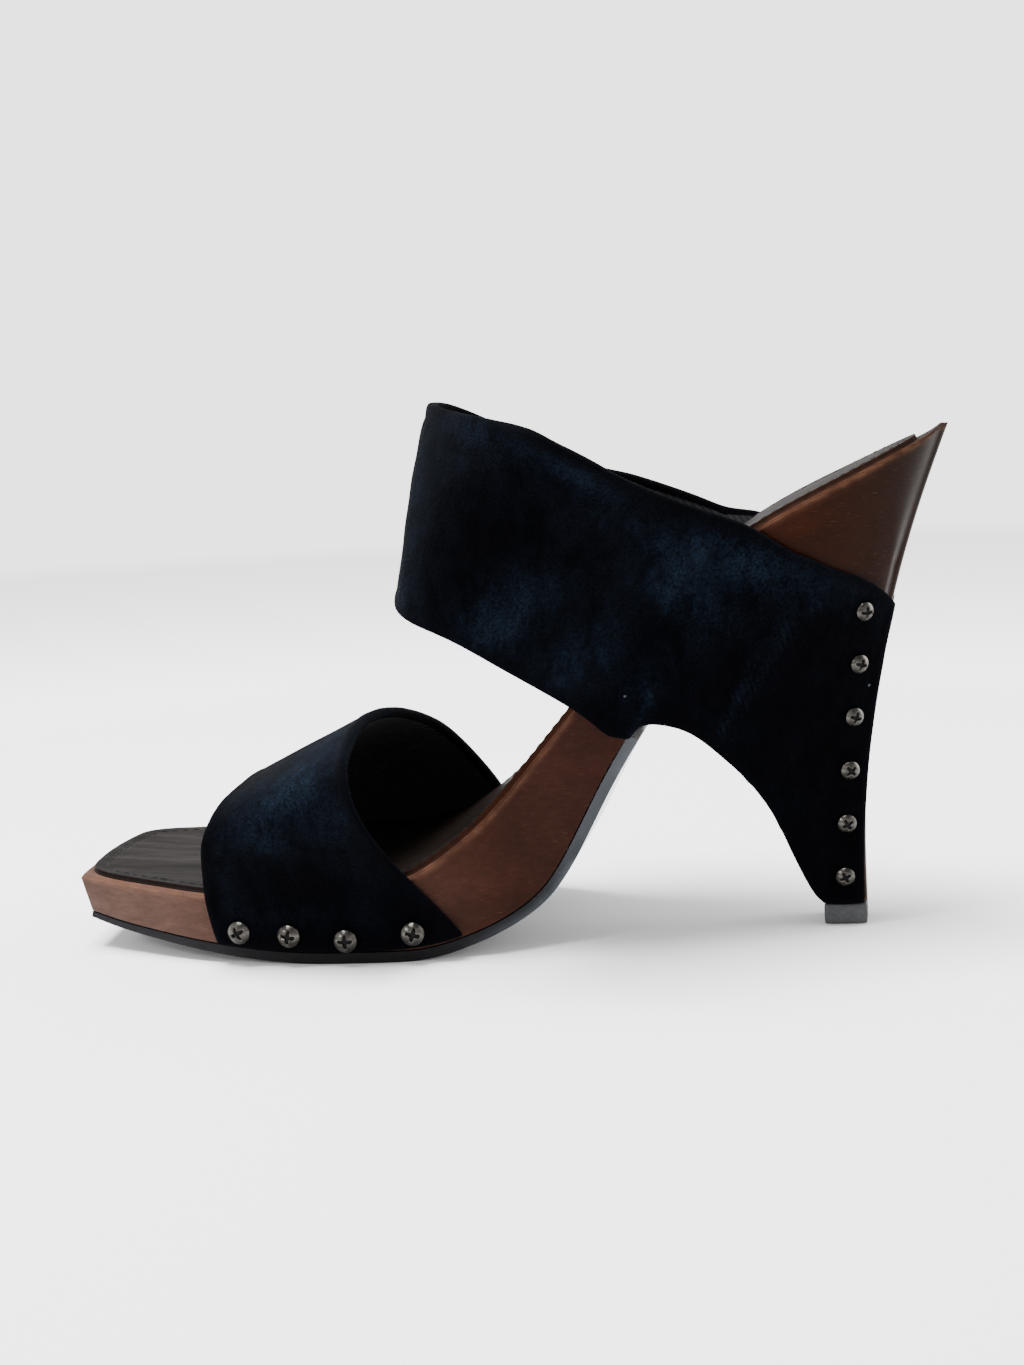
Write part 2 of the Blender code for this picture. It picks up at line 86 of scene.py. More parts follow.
strap = {
    "sharp": 50,
    "edgeWidth": 0.95,      # how round the rolled edge is
    "levels": 2,
    "edgeBandWidth": 2.6,
    "roll": 0.20,           # height of the turned edge
    "rollAt": 1.5,
    "rollWidth": 1.1,
    "groove": 0.14,         # depth of the groove behind it
    "grooveAt": 3.5,
    "grooveWidth": 0.8,
    "pull": 0.30,           # how deep a screw pulls the velvet in
    "pullWidth": 4.2,
    "lumps": 0.09,          # unevenness of the padding
    "lumpSize": 17.0,
    "medialFrom": 6.0,      # creases and patches fade out this far from the middle
    "wallFade": 1.2,        # from the outer face to the lining, moves fade over this
}
screw = {
    "frontSize": 1.13,      # the heads at the front are a little larger
    "heelSize": 0.93,
    "radius": 2.45,
    "height": 1.60,
    "rim": 0.30,
    "crossReach": 1.45,
    "crossHalf": 0.36,
    "crossDepth": 0.85,
    "crossEnd": 0.22,       # softness of the recess at its ends and sides
    "crossSide": 0.10,
    "segments": 48,
    "rings": 10,
    "seed": 7,              # for how far each cross is turned
}
# Creases and ridges of the instep strap's medial side: points (along, up), width to each side, height above
# the cloth, and how much painted highlight lies along it
instepFolds = [
    {"line": [(56, 53), (64, 63.5), (76, 72.5), (89.5, 80.5), (97, 86.5)], "width": 5.5, "high": 0.75},
    {"line": [(62, 52), (70.5, 59), (79.5, 67.5), (88, 75), (99.5, 84)], "width": 2.6, "high": -0.18},
    {"line": [(77.3, 49), (82, 57.5), (85.5, 66), (91.7, 73), (98, 82)],
     "width": 0.7, "high": 0.32, "light": 0.55},
    {"line": [(83.5, 56), (88.5, 65), (94, 73), (100, 80)], "width": 0.7, "high": 0.26, "light": 0.40},
    {"line": [(98.5, 77.7), (102.7, 79.2), (107.5, 75.5)], "width": 0.8, "high": 0.30, "light": 0.40},
    {"line": [(56.5, 49.8), (60, 55), (62, 59.5)], "width": 0.7, "high": 0.40, "light": 0.70},
    {"line": [(59.5, 50.5), (62.5, 54.5)], "width": 0.6, "high": 0.30},
    {"line": [(83, 38.8), (85.5, 36.6)], "width": 0.6, "high": 0.35},
    {"line": [(85, 35.2), (87.6, 33.4)], "width": 0.6, "high": 0.35},
    {"line": [(87.6, 31), (90, 29)], "width": 0.6, "high": 0.35},
    {"line": [(90.2, 26.6), (92.6, 24.4)], "width": 0.6, "high": 0.30},
    {"line": [(20, 121), (34, 113), (52, 100), (66, 92)], "width": 9.0, "high": 0.50},
    {"line": [(22, 92), (36, 84), (50, 74)], "width": 7.0, "high": -0.45},
]
# Small bumps of cloth on the wing's lower edge: middle, move, half width
instepBumps = [
    ((84.2, 37.8), (-0.55, -0.45), 1.3), ((87.0, 33.6), (-0.35, -0.25), 1.0),
    ((91.4, 26.2), (-0.60, -0.40), 1.3), ((56.8, 49.4), (-0.10, -0.45), 1.4),
]
frontFolds = [
    {"line": [(-30, 38), (-16, 44), (-8, 50)], "width": 6.0, "high": 0.35},
    {"line": [(-34, 24), (-22, 20), (-8, 22), (4, 17)], "width": 5.0, "high": -0.40},
    {"line": [(-38, 14), (-24, 12), (-6, 13)], "width": 4.0, "high": 0.25},
]

# Painted sheen and painted shade on the medial side's pile: middle (along, up), half length and half width,
# turn in degrees, and how much lighter (sheen) or darker (shade)
instepSheenAndShade = [
    ((36, 84), (9, 7), 20, 0.85), ((29, 77), (8, 5), -10, 0.70), ((45, 66), (7, 6), 30, 0.90),
    ((52, 73), (8, 6), 60, 0.45), ((69, 84), (9, 6), -35, 0.95), ((79, 91), (9, 5), -30, 0.95),
    ((90, 88), (11, 5), -25, 0.70), ((104, 83), (10, 4), -22, 0.50), ((66, 95), (10, 3), -38, 0.60),
    ((50, 112), (14, 2.2), -31, 0.50), ((27, 123), (7, 4), -15, 0.55), ((12, 108), (6, 12), 10, 0.30),
    ((10, 84), (6, 12), 5, 0.32), ((60, 62), (8, 4), 35, 0.30), ((80, 79), (10, 4), 40, 0.28),
    ((33, 98), (10, 8), 20, -0.35), ((54, 92), (9, 8), 0, -0.50), ((96, 55), (13, 26), -8, -0.90),
    ((108, 30), (9, 24), 0, -0.90),
]
frontSheenAndShade = [
    ((-20, 42), (9, 5), 30, 0.80), ((-12, 50), (8, 4), 30, 0.65), ((-26, 31), (8, 6), 20, 0.60),
    ((-36, 27), (3, 8), 0, 0.40), ((-8, 36), (5, 8), -30, 0.35), ((-31, 25), (6, 4), 0, -0.60),
    ((-16, 23), (10, 5), 0, -0.60), ((-8, 14), (14, 5), 0, -0.60),
]

# The stage is in metres and watts
stage = {
    "rim": [(1.6, 0.0), (2.0, 0.05), (2.3, 0.2), (2.5, 0.5), (2.6, 1.0), (2.65, 2.2)],
    "sides": 96,
    "around": 0.45,         # light from all sides
    "lamps": [
        {"name": "over", "place": (-0.25, -0.05, 1.20), "aim": (0.02, 0, 0.04),
         "size": (0.75, 0.60), "power": 54},
        {"name": "glint", "place": (-0.70, -0.60, 0.58), "aim": (0, 0, 0.05),
         "size": (0.14, 0.14), "power": 2.2},
        {"name": "back_right", "place": (0.80, 0.35, 0.40), "aim": (0.08, 0, 0.06),
         "size": (0.25, 0.7), "power": 4},
    ],
}

# Steps in metres between the points that distances are taken to
edgeStep = 0.001
seamStep = 0.0006


def metres(*values):
    return Vector([value / 1000 for value in values])


# Copies of the sub-parts


def mergedCopy(nodeName):
    # The sub-part's triangles share no corners: merged and joined back to four sides
    shape = bmesh.new()
    shape.from_mesh(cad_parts[nodeName].data)
    bmesh.ops.remove_doubles(shape, verts=shape.verts, dist=0.00001)
    bmesh.ops.join_triangles(
        shape, faces=shape.faces, angle_face_threshold=radians(25), angle_shape_threshold=radians(70))
    for layer in list(shape.loops.layers.uv.values()):
        shape.loops.layers.uv.remove(layer)
    return shape


def sharpEdges(shape, angle):
    return [edge for edge in shape.edges
            if len(edge.link_faces) == 2 and edge.calc_face_angle() > angle]


def faceRegions(shape, angle):
    # Groups of faces that meet without a sharp edge, the largest first
    regions = []
    seen = set()
    for start in shape.faces:
        if start in seen:
            continue
        seen.add(start)
        region, waiting = [], [start]
        while waiting:
            face = waiting.pop()
            region.append(face)
            for edge in face.edges:
                if len(edge.link_faces) != 2 or edge.calc_face_angle() > angle:
                    continue
                for other in edge.link_faces:
                    if other not in seen:
                        seen.add(other)
                        waiting.append(other)
        regions.append(region)
    return sorted(regions, key=lambda region: -sum(face.calc_area() for face in region))


def edgePoints(edges, step):
    points = []
    for edge in edges:
        a, b = (corner.co for corner in edge.verts)
        count = max(1, int((a - b).length / step))
        points += [a.lerp(b, number / count) for number in range(count + 1)]
    return points


def madeObject(shape, name):
    mesh = bpy.data.meshes.new(name)
    shape.to_mesh(mesh)
    shape.free()
    mesh.shade_smooth()
    item = bpy.data.objects.new(name, mesh)
    bpy.context.scene.collection.objects.link(item)
    return item


def toPiece(shape, name, levels):
    # Makes the mesh an object, rounds it by subdivision and applies that
    piece = madeObject(shape, name)
    finer = piece.modifiers.new("Finer", "SUBSURF")
    finer.levels = finer.render_levels = levels
    applied(piece)
    piece.data.shade_smooth()
    return piece


def applied(piece):
    # Turns what the modifiers make into the piece's own mesh
    plain = bpy.data.meshes.new_from_object(piece.evaluated_get(bpy.context.evaluated_depsgraph_get()))
    old = piece.data
    piece.modifiers.clear()
    piece.data = plain
    bpy.data.meshes.remove(old)
    plain.name = piece.name


def places(mesh):
    values = np.empty(len(mesh.vertices) * 3)
    mesh.vertices.foreach_get("co", values)
    return values.reshape(-1, 3)


def directions(mesh):
    values = np.empty(len(mesh.vertices) * 3)
    mesh.vertex_normals.foreach_get("vector", values)
    return values.reshape(-1, 3)


def move(mesh, points):
    mesh.vertices.foreach_set("co", points.ravel())
    mesh.update()


def markValue(mesh, name, values):
    mark = mesh.attributes.new(name, "FLOAT", "POINT")
    mark.data.foreach_set("value", np.asarray(values, np.float32))


def distanceTo(mesh, points):
    # How far each corner of the mesh is from the nearest of the points
    tree = KDTree(len(points))
    for number, point in enumerate(points):
        tree.insert(point, number)
    tree.balance()
    return np.array([tree.find(vertex.co)[2] for vertex in mesh.vertices])


def markEdgeBand(mesh, points, width):
    # 1 on the piece's edges and 0 a little way in
    markValue(mesh, "wear", np.exp(-(distanceTo(mesh, points) * 1000 / width) ** 2))


def surfaceOf(mesh):
    shape = bmesh.new()
    shape.from_mesh(mesh)
    surface = BVHTree.FromBMesh(shape)
    shape.free()
    return surface


def roundedCopy(nodeName, settings):
    # Copy of a hard sub-part with soft edges and an even surface
    shape = mergedCopy(nodeName)
    edges = sharpEdges(shape, radians(settings["sharp"]))
    steep = [edge for edge in edges
             if abs(edge.verts[0].co.z - edge.verts[1].co.z) > 0.85 * edge.calc_length()]
    points = edgePoints([edge for edge in edges if edge not in steep], edgeStep)
    for other in settings.get("edgeBandOffFrom", ()):
        surface = surfaceOf(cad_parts[other].data)
        points = [point for point in points
                  if surface.find_nearest(point)[3] > settings["hiddenGap"] / 1000]
    if "spineWidth" in settings:
        spine = [edge for edge in steep if edge.verts[0].co.x * 1000 > settings["spineFrom"]]
        bmesh.ops.bevel(shape, geom=spine, offset=settings["spineWidth"] / 1000, segments=4,
                        profile=0.5, affect="EDGES", clamp_overlap=True)
        edges = sharpEdges(shape, radians(settings["sharp"]))
    bmesh.ops.bevel(shape, geom=edges, offset=settings["edgeWidth"] / 1000, segments=2,
                    profile=0.5, affect="EDGES", clamp_overlap=True)
    piece = toPiece(shape, nodeName + "_piece", settings["levels"])
    markEdgeBand(piece.data, points, settings["edgeBandWidth"])
    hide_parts(nodeName)
    return piece


# Materials


class Paint:
    # Short calls for a material's nodes
    def __init__(self, name):
        self.material = bpy.data.materials.new(name)
        self.material.use_nodes = True
        self.tree = self.material.node_tree
        self.shader = self.tree.nodes["Principled BSDF"]
        self.coordinates = self.add("ShaderNodeTexCoord").outputs["Object"]

    def add(self, kind, **settings):
        node = self.tree.nodes.new(kind)
        for name, value in settings.items():
            setattr(node, name, value)
        return node

    def join(self, source, target):
        self.tree.links.new(source, target)

    def feed(self, node, socket, value):
        if isinstance(value, bpy.types.NodeSocket):
            self.join(value, node.inputs[socket])
        else:
            node.inputs[socket].default_value = value

    def stretched(self, scale, turn=(0, 0, 0)):
        mapping = self.add("ShaderNodeMapping")
        self.join(self.coordinates, mapping.inputs["Vector"])
        mapping.inputs["Scale"].default_value = scale
        mapping.inputs["Rotation"].default_value = [radians(angle) for angle in turn]
        return mapping.outputs["Vector"]

    def noise(self, scale, detail=3.0, rough=0.5, vector=None, twist=0.0):
        node = self.add("ShaderNodeTexNoise")
        self.join(vector or self.coordinates, node.inputs["Vector"])
        node.inputs["Scale"].default_value = scale
        node.inputs["Detail"].default_value = detail
        node.inputs["Roughness"].default_value = rough
        node.inputs["Distortion"].default_value = twist
        return node.outputs["Fac"]

    def span(self, value, low, high, toLow=0.0, toHigh=1.0):
        node = self.add("ShaderNodeMapRange")
        self.join(value, node.inputs["Value"])
        for socket, amount in zip(("From Min", "From Max", "To Min", "To Max"), (low, high, toLow, toHigh)):
            node.inputs[socket].default_value = amount
        return node.outputs["Result"]

    def math(self, operation, first, second):
        node = self.add("ShaderNodeMath", operation=operation)
        self.feed(node, 0, first)
        self.feed(node, 1, second)
        return node.outputs[0]

    def mix(self, share, first, second, blend="MIX"):
        node = self.add("ShaderNodeMix", data_type="RGBA", blend_type=blend)
        self.feed(node, 0, share)
        self.feed(node, 6, first)
        self.feed(node, 7, second)
        return node.outputs[2]

    def ramp(self, value, stops):
        node = self.add("ShaderNodeValToRGB")
        self.join(value, node.inputs["Fac"])
        line = node.color_ramp.elements
        while len(line) < len(stops):
            line.new(0.5)
        for element, (place, colour) in zip(line, stops):
            element.position = place
            element.color = colour
        return node.outputs["Color"]

    def mark(self, name):
        return self.add("ShaderNodeAttribute", attribute_name=name).outputs["Fac"]

    def along(self, axis):
        node = self.add("ShaderNodeSeparateXYZ")
        self.join(self.coordinates, node.inputs["Vector"])
        return node.outputs[axis]

    def toeToHeel(self):
        # 0 at the toe's face, 1 at the point of the seat
        return self.span(self.along("X"), -0.080, 0.131)

    def facing(self, axis):
        # How far the surface faces along an axis, -1 to 1
        node = self.add("ShaderNodeSeparateXYZ")
        self.join(self.add("ShaderNodeNewGeometry").outputs["Normal"], node.inputs["Vector"])
        return node.outputs[axis]

    def bump(self, height, strength, distance, under=None):
        node = self.add("ShaderNodeBump")
        self.join(height, node.inputs["Height"])
        node.inputs["Strength"].default_value = strength
        node.inputs["Distance"].default_value = distance
        if under:
            self.join(under, node.inputs["Normal"])
        return node.outputs["Normal"]

    def set(self, **values):
        for name, value in values.items():
            self.feed(self.shader, name.replace("_", " "), value)


def tone(red, green, blue):
    # A colour given as it looks on screen, 0 to 255
    values = []
    for part in (red, green, blue):
        share = part / 255
        values.append(share / 12.92 if share <= 0.04045 else ((share + 0.055) / 1.055) ** 2.4)
    return (*values, 1.0)


def woodFinish():
    # Lacquered wood: pinkish at the toe, brown up the waist, orange-brown at the seat
    paint = Paint("wood")
    flow = paint.stretched((1.0, 3.4, 5.0), (0, -8, 0))
    fine = paint.noise(190, 5.0, 0.62, flow, 0.6)
    broad = paint.noise(26, 3.0, 0.55, paint.stretched((1.0, 1.5, 2.2), (0, -35, 0)), 1.2)
    pores = paint.span(paint.noise(900, 2.0, 0.6, paint.stretched((1.0, 4.0, 7.0), (0, -8, 0))), 0.60, 0.72)
    body = paint.ramp(paint.toeToHeel(), [
        (0.00, tone(80, 60, 52)), (0.30, tone(77, 54, 45)), (0.42, tone(57, 34, 25)),
        (0.60, tone(44, 20, 13)), (0.76, tone(46, 16, 1)), (0.90, tone(32, 9, 0)), (1.00, tone(15, 6, 1))])
    dark = paint.mix(0.62, body, tone(90, 60, 46), "MULTIPLY")
    colour = paint.mix(paint.span(fine, 0.32, 0.70, 0.0, 0.55), body, dark)
    colour = paint.mix(paint.span(broad, 0.38, 0.68, 0.0, 0.55), colour, dark)
    colour = paint.mix(paint.math("MULTIPLY", pores, 0.30), colour, tone(24, 13, 8))
    # Lighter orange band along the free edges: partly worn lacquer, partly painted highlight
    lighterShare = paint.span(paint.noise(160, 3.0), 0.35, 0.60, 0.25, 0.95)
    wornAndHighlit = paint.math("MULTIPLY", paint.mark("wear"), lighterShare)
    colour = paint.mix(paint.math("MULTIPLY", wornAndHighlit, 0.30), colour, tone(120, 84, 64))
    hair = paint.noise(600, 2.0, 0.5, paint.stretched((0.6, 1.0, 9.0), (0, 38, 0)))
    scratches = paint.span(hair, 0.66, 0.74)
    colour = paint.mix(paint.math("MULTIPLY", scratches, 0.12), colour, tone(130, 100, 84))
    rough = paint.math("ADD", paint.span(broad, 0.3, 0.7, 0.26, 0.38), paint.math("MULTIPLY", wornAndHighlit, 0.16))
    rough = paint.math("ADD", rough, paint.span(paint.facing("Z"), 0.3, 0.7, 0.0, 0.4))
    normal = paint.bump(fine, 0.08, 0.0004)
    normal = paint.bump(pores, 0.10, 0.0002, normal)
    paint.set(Base_Color=colour, Roughness=rough, Normal=normal, Specular_IOR_Level=0.04)
    return paint.material


def velvetFinish():
    # Black velvet with painted blue-grey sheen in patches, painted shade where the pile lies dull, and a
    # little lint
    paint = Paint("velvet")
    # Painted sheen: lighter blue-grey patches from noise, from the listed patches and along the ridges
    cloud = paint.noise(34, 4.0, 0.55, paint.stretched((1.0, 1.0, 1.25), (0, 28, 0)), 0.5)
    paintedLightPatches = paint.span(cloud, 0.52, 0.76, 0.0, 0.20)
    brushed = paint.noise(150, 5.0, 0.68, paint.stretched((1.5, 1.5, 0.8), (0, 20, 0)), 0.3)
    small = paint.span(brushed, 0.36, 0.68)
    fibre = paint.span(paint.noise(1500, 3.0, 0.75), 0.36, 0.64)
    uneven = paint.math("ADD", 0.25, paint.math("MULTIPLY", small, 0.85))
    light = paint.math("MULTIPLY", paint.mark("nap"), uneven)
    nap = paint.add("ShaderNodeMath", operation="ADD", use_clamp=True)
    paint.feed(nap, 0, paint.math("MULTIPLY", paintedLightPatches, paint.math("SUBTRACT", 1.0, paint.mark("dull"))))
    paint.feed(nap, 1, light)
    deep = paint.mix(small, tone(1, 1, 2), tone(3, 3, 6))
    sheenTone = paint.mix(fibre, tone(3, 5, 9), tone(20, 29, 41))
    colour = paint.mix(nap.outputs[0], deep, sheenTone)
    # Painted shade: the velvet is kept near black along its rolled edges
    colour = paint.mix(paint.math("MULTIPLY", paint.mark("wear"), 0.6), colour, tone(4, 4, 6))
    cells = paint.add("ShaderNodeTexVoronoi", feature="F1")
    paint.join(paint.coordinates, cells.inputs["Vector"])
    cells.inputs["Scale"].default_value = 150
    specks = paint.math("LESS_THAN", cells.outputs["Distance"], 0.045)
    some = paint.math("GREATER_THAN", paint.noise(60, 1.0), 0.56)
    lint = paint.math("MULTIPLY", paint.math("MULTIPLY", specks, some), 0.5)
    colour = paint.mix(lint, colour, tone(90, 95, 105))
    normal = paint.bump(fibre, 0.55, 0.00035)
    normal = paint.bump(small, 0.25, 0.0008, normal)
    paint.set(Base_Color=colour, Roughness=0.95, Normal=normal, Specular_IOR_Level=0.02,
              Sheen_Weight=0.012, Sheen_Roughness=0.35, Sheen_Tint=tone(120, 145, 185))
    return paint.material


def liningFinish():
    # Dark ribbed lining
    paint = Paint("lining")
    ribs = paint.add("ShaderNodeTexWave", wave_type="BANDS", bands_direction="X")
    paint.join(paint.stretched((1, 1, 1), (0, 42, 20)), ribs.inputs["Vector"])
    ribs.inputs["Scale"].default_value = 260
    ribs.inputs["Distortion"].default_value = 0.4
    ribs.inputs["Detail"].default_value = 1.0
    height = ribs.outputs["Fac"]
    broken = paint.noise(900, 2.0, 0.6)
    colour = paint.mix(paint.math("MULTIPLY", height, 0.8), tone(6, 6, 7), tone(20, 20, 23))
    colour = paint.mix(paint.math("MULTIPLY", broken, 0.35), colour, tone(8, 8, 9))
    normal = paint.bump(height, 0.5, 0.0003)
    paint.set(Base_Color=colour, Roughness=0.82, Normal=normal, Specular_IOR_Level=0.2)
    return paint.material


def leatherFinish():
    # Smooth black-brown leather with pressed streaks and a dull shine
    paint = Paint("insole_leather")
    streaks = paint.noise(60, 5.0, 0.6, paint.stretched((0.55, 3.2, 1.0), (0, 0, 6)), 0.4)
    grain = paint.add("ShaderNodeTexVoronoi", feature="DISTANCE_TO_EDGE")
    paint.join(paint.coordinates, grain.inputs["Vector"])
    grain.inputs["Scale"].default_value = 1300
    pebbles = paint.span(grain.outputs["Distance"], 0.0, 0.12)
    colour = paint.ramp(streaks, [
        (0.30, tone(11, 8, 7)), (0.52, tone(15, 11, 9)), (0.74, tone(21, 15, 13))])
    lighterShare = paint.span(paint.noise(22, 2.0), 0.45, 0.65, 0.0, 0.5)
    colour = paint.mix(lighterShare, colour, tone(27, 21, 18))
    rim = paint.ramp(paint.toeToHeel(), [
        (0.30, tone(20, 14, 12)), (0.50, tone(46, 24, 15)),
        (0.75, tone(44, 26, 18)), (0.95, tone(38, 23, 17))])
    colour = paint.mix(paint.math("MULTIPLY", paint.mark("border"), 0.8), colour, tone(5, 4, 4))
    colour = paint.mix(paint.mark("wear"), colour, rim)
    normal = paint.bump(pebbles, 0.16, 0.0002)
    normal = paint.bump(streaks, 0.05, 0.0006, normal)
    paint.set(Base_Color=colour, Roughness=paint.span(streaks, 0.3, 0.7, 0.66, 0.48), Normal=normal,
              Specular_IOR_Level=0.02)
    return paint.material


def outsoleFinish():
    # Glossy black sheet, greyer towards the toe, with scuffs and slightly greyer edges; painted grey
    # reflection along its edges at the back of the waist and on its higher part under the arch
    paint = Paint("sole_black")
    scuffs = paint.span(paint.noise(240, 4.0, 0.65, paint.stretched((0.5, 2.0, 2.0))), 0.55, 0.72)
    toe = paint.span(paint.along("X"), -0.080, -0.030, 0.55, 0.0)
    colour = paint.mix(toe, tone(3, 3, 4), tone(16, 16, 19))
    colour = paint.mix(paint.math("MULTIPLY", scuffs, 0.35), colour, tone(16, 16, 19))
    # Painted reflection: from the back of the waist on, the edges are painted light grey
    edge = paint.mix(paint.span(paint.along("X"), 0.016, 0.045), tone(12, 12, 16), tone(74, 78, 84))
    colour = paint.mix(paint.math("MULTIPLY", paint.mark("wear"), 0.9), colour, edge)
    # Painted reflection: grey where the sheet rises under the arch
    lighterShare = paint.span(paint.along("Z"), 0.010, 0.026, 0.0, 0.75)
    colour = paint.mix(lighterShare, colour, tone(64, 67, 72))
    fine = paint.noise(1500, 2.0)
    dull = paint.span(paint.along("X"), 0.020, 0.042, 0.55, 0.14)
    rough = paint.math("ADD", paint.math("MULTIPLY", scuffs, 0.20), dull)
    paint.set(Base_Color=colour, Roughness=rough, Normal=paint.bump(fine, 0.05, 0.0002),
              Specular_IOR_Level=0.12)
    return paint.material


def liftFinish():
    # Dull dark rubber, rubbed grey round its edges
    paint = Paint("lift_rubber")
    grit = paint.noise(1100, 4.0, 0.7)
    colour = paint.mix(paint.span(grit, 0.3, 0.75), tone(32, 33, 34), tone(62, 63, 65))
    colour = paint.mix(paint.math("MULTIPLY", paint.mark("wear"), 0.5), colour, tone(60, 60, 63))
    paint.set(Base_Color=colour, Roughness=0.62, Normal=paint.bump(grit, 0.3, 0.0003))
    return paint.material


def nickelFinish():
    # Dull nickel with grime, and painted shade in the cross recess and on the lower half of each head
    paint = Paint("nickel")
    grime = paint.span(paint.noise(700, 3.0, 0.6), 0.42, 0.68)
    colour = paint.mix(paint.math("MULTIPLY", grime, 0.55), tone(84, 81, 77), tone(34, 31, 28))
    # Painted shade: darker where the head faces down
    colour = paint.mix(paint.span(paint.facing("Z"), -0.55, 0.25, 0.72, 0.0), colour, tone(20, 18, 17))
    # Painted shade: the cross recess is painted near black
    colour = paint.mix(paint.mark("recess"), colour, tone(3, 3, 3))
    rough = paint.span(paint.noise(500, 2.0), 0.3, 0.7, 0.20, 0.34)
    metal = paint.math("SUBTRACT", 1.0, paint.math("MULTIPLY", paint.mark("recess"), 0.6))
    paint.set(Base_Color=colour, Roughness=rough, Metallic=metal, Normal=paint.bump(grime, 0.12, 0.0002),
              Specular_IOR_Level=0.1)
    return paint.material


def threadFinish():
    # Black twisted thread
    paint = Paint("thread")
    twist = paint.noise(4000, 2.0)
    colour = paint.mix(twist, tone(3, 3, 4), tone(12, 12, 13))
    paint.set(Base_Color=colour, Roughness=0.7, Normal=paint.bump(twist, 0.4, 0.0002),
              Specular_IOR_Level=0.15)
    return paint.material


# Straps


def lineDistance(points, line):
    # Distance in the side view from each point to a line of (along, up)
    best = np.full(len(points), 1e9)
    flat = points[:, [0, 2]] * 1000
    for start, end in zip(line, line[1:]):
        a, b = np.array(start, float), np.array(end, float)
        run = b - a
        share = np.clip(((flat - a) @ run) / (run @ run), 0, 1)
        best = np.minimum(best, np.linalg.norm(flat - a - share[:, None] * run, axis=1))
    return best


def softNoise(points, size, seed):
    # Smooth unevenness from a few fixed waves
    rng = np.random.default_rng(seed)
    total = np.zeros(len(points))
    for _ in range(14):
        direction = rng.normal(size=3)
        direction /= np.linalg.norm(direction)
        length = size * rng.uniform(0.6, 1.6)
        total += np.sin(points @ direction * 1000 * 2 * pi / length + rng.uniform(0, 2 * pi))
    return total / 14 ** 0.5


def patchShare(points, patch):
    # How much each point lies in an oval patch of the side view
    (along, up), (half, across), turn, amount = patch
    flat = points[:, [0, 2]] * 1000 - np.array((along, up))
    angle = radians(turn)
    a = (flat @ np.array((cos(angle), sin(angle)))) / half
    b = (flat @ np.array((-sin(angle), cos(angle)))) / across
    return abs(amount) * np.exp(-(a * a + b * b))


def faceTree(faces):
    # Points spread over the faces, and the direction in which each point's face looks
    tree = KDTree(len(faces) * 5)
    facing = []
    for face in faces:
        centre = face.calc_center_median()
        spots = [centre] + [centre.lerp(corner.co, 0.6) for corner in face.verts]
        for spot in spots[:5]:
            tree.insert(spot, len(facing))
            facing.append(face.normal.copy())
    tree.balance()
    return tree, facing


def outwardAt(mesh, outerTree, facing, innerTree, wallFade):
    # Outward direction at each corner of the mesh, and 1 on the velvet to 0 on the lining
    out = np.empty((len(mesh.vertices), 3))
    share = np.empty(len(mesh.vertices))
    for number, vertex in enumerate(mesh.vertices):
        near = outerTree.find_n(vertex.co, 6)
        total = Vector((0, 0, 0))
        for _, index, distance in near:
            total += facing[index] / (distance + 0.001)
        out[number] = total.normalized()
        toOuter, toInner = near[0][2], innerTree.find(vertex.co)[2]
        share[number] = np.clip((toInner - toOuter) * 1000 / wallFade * 0.5 + 0.5, 0, 1)
    return out, share


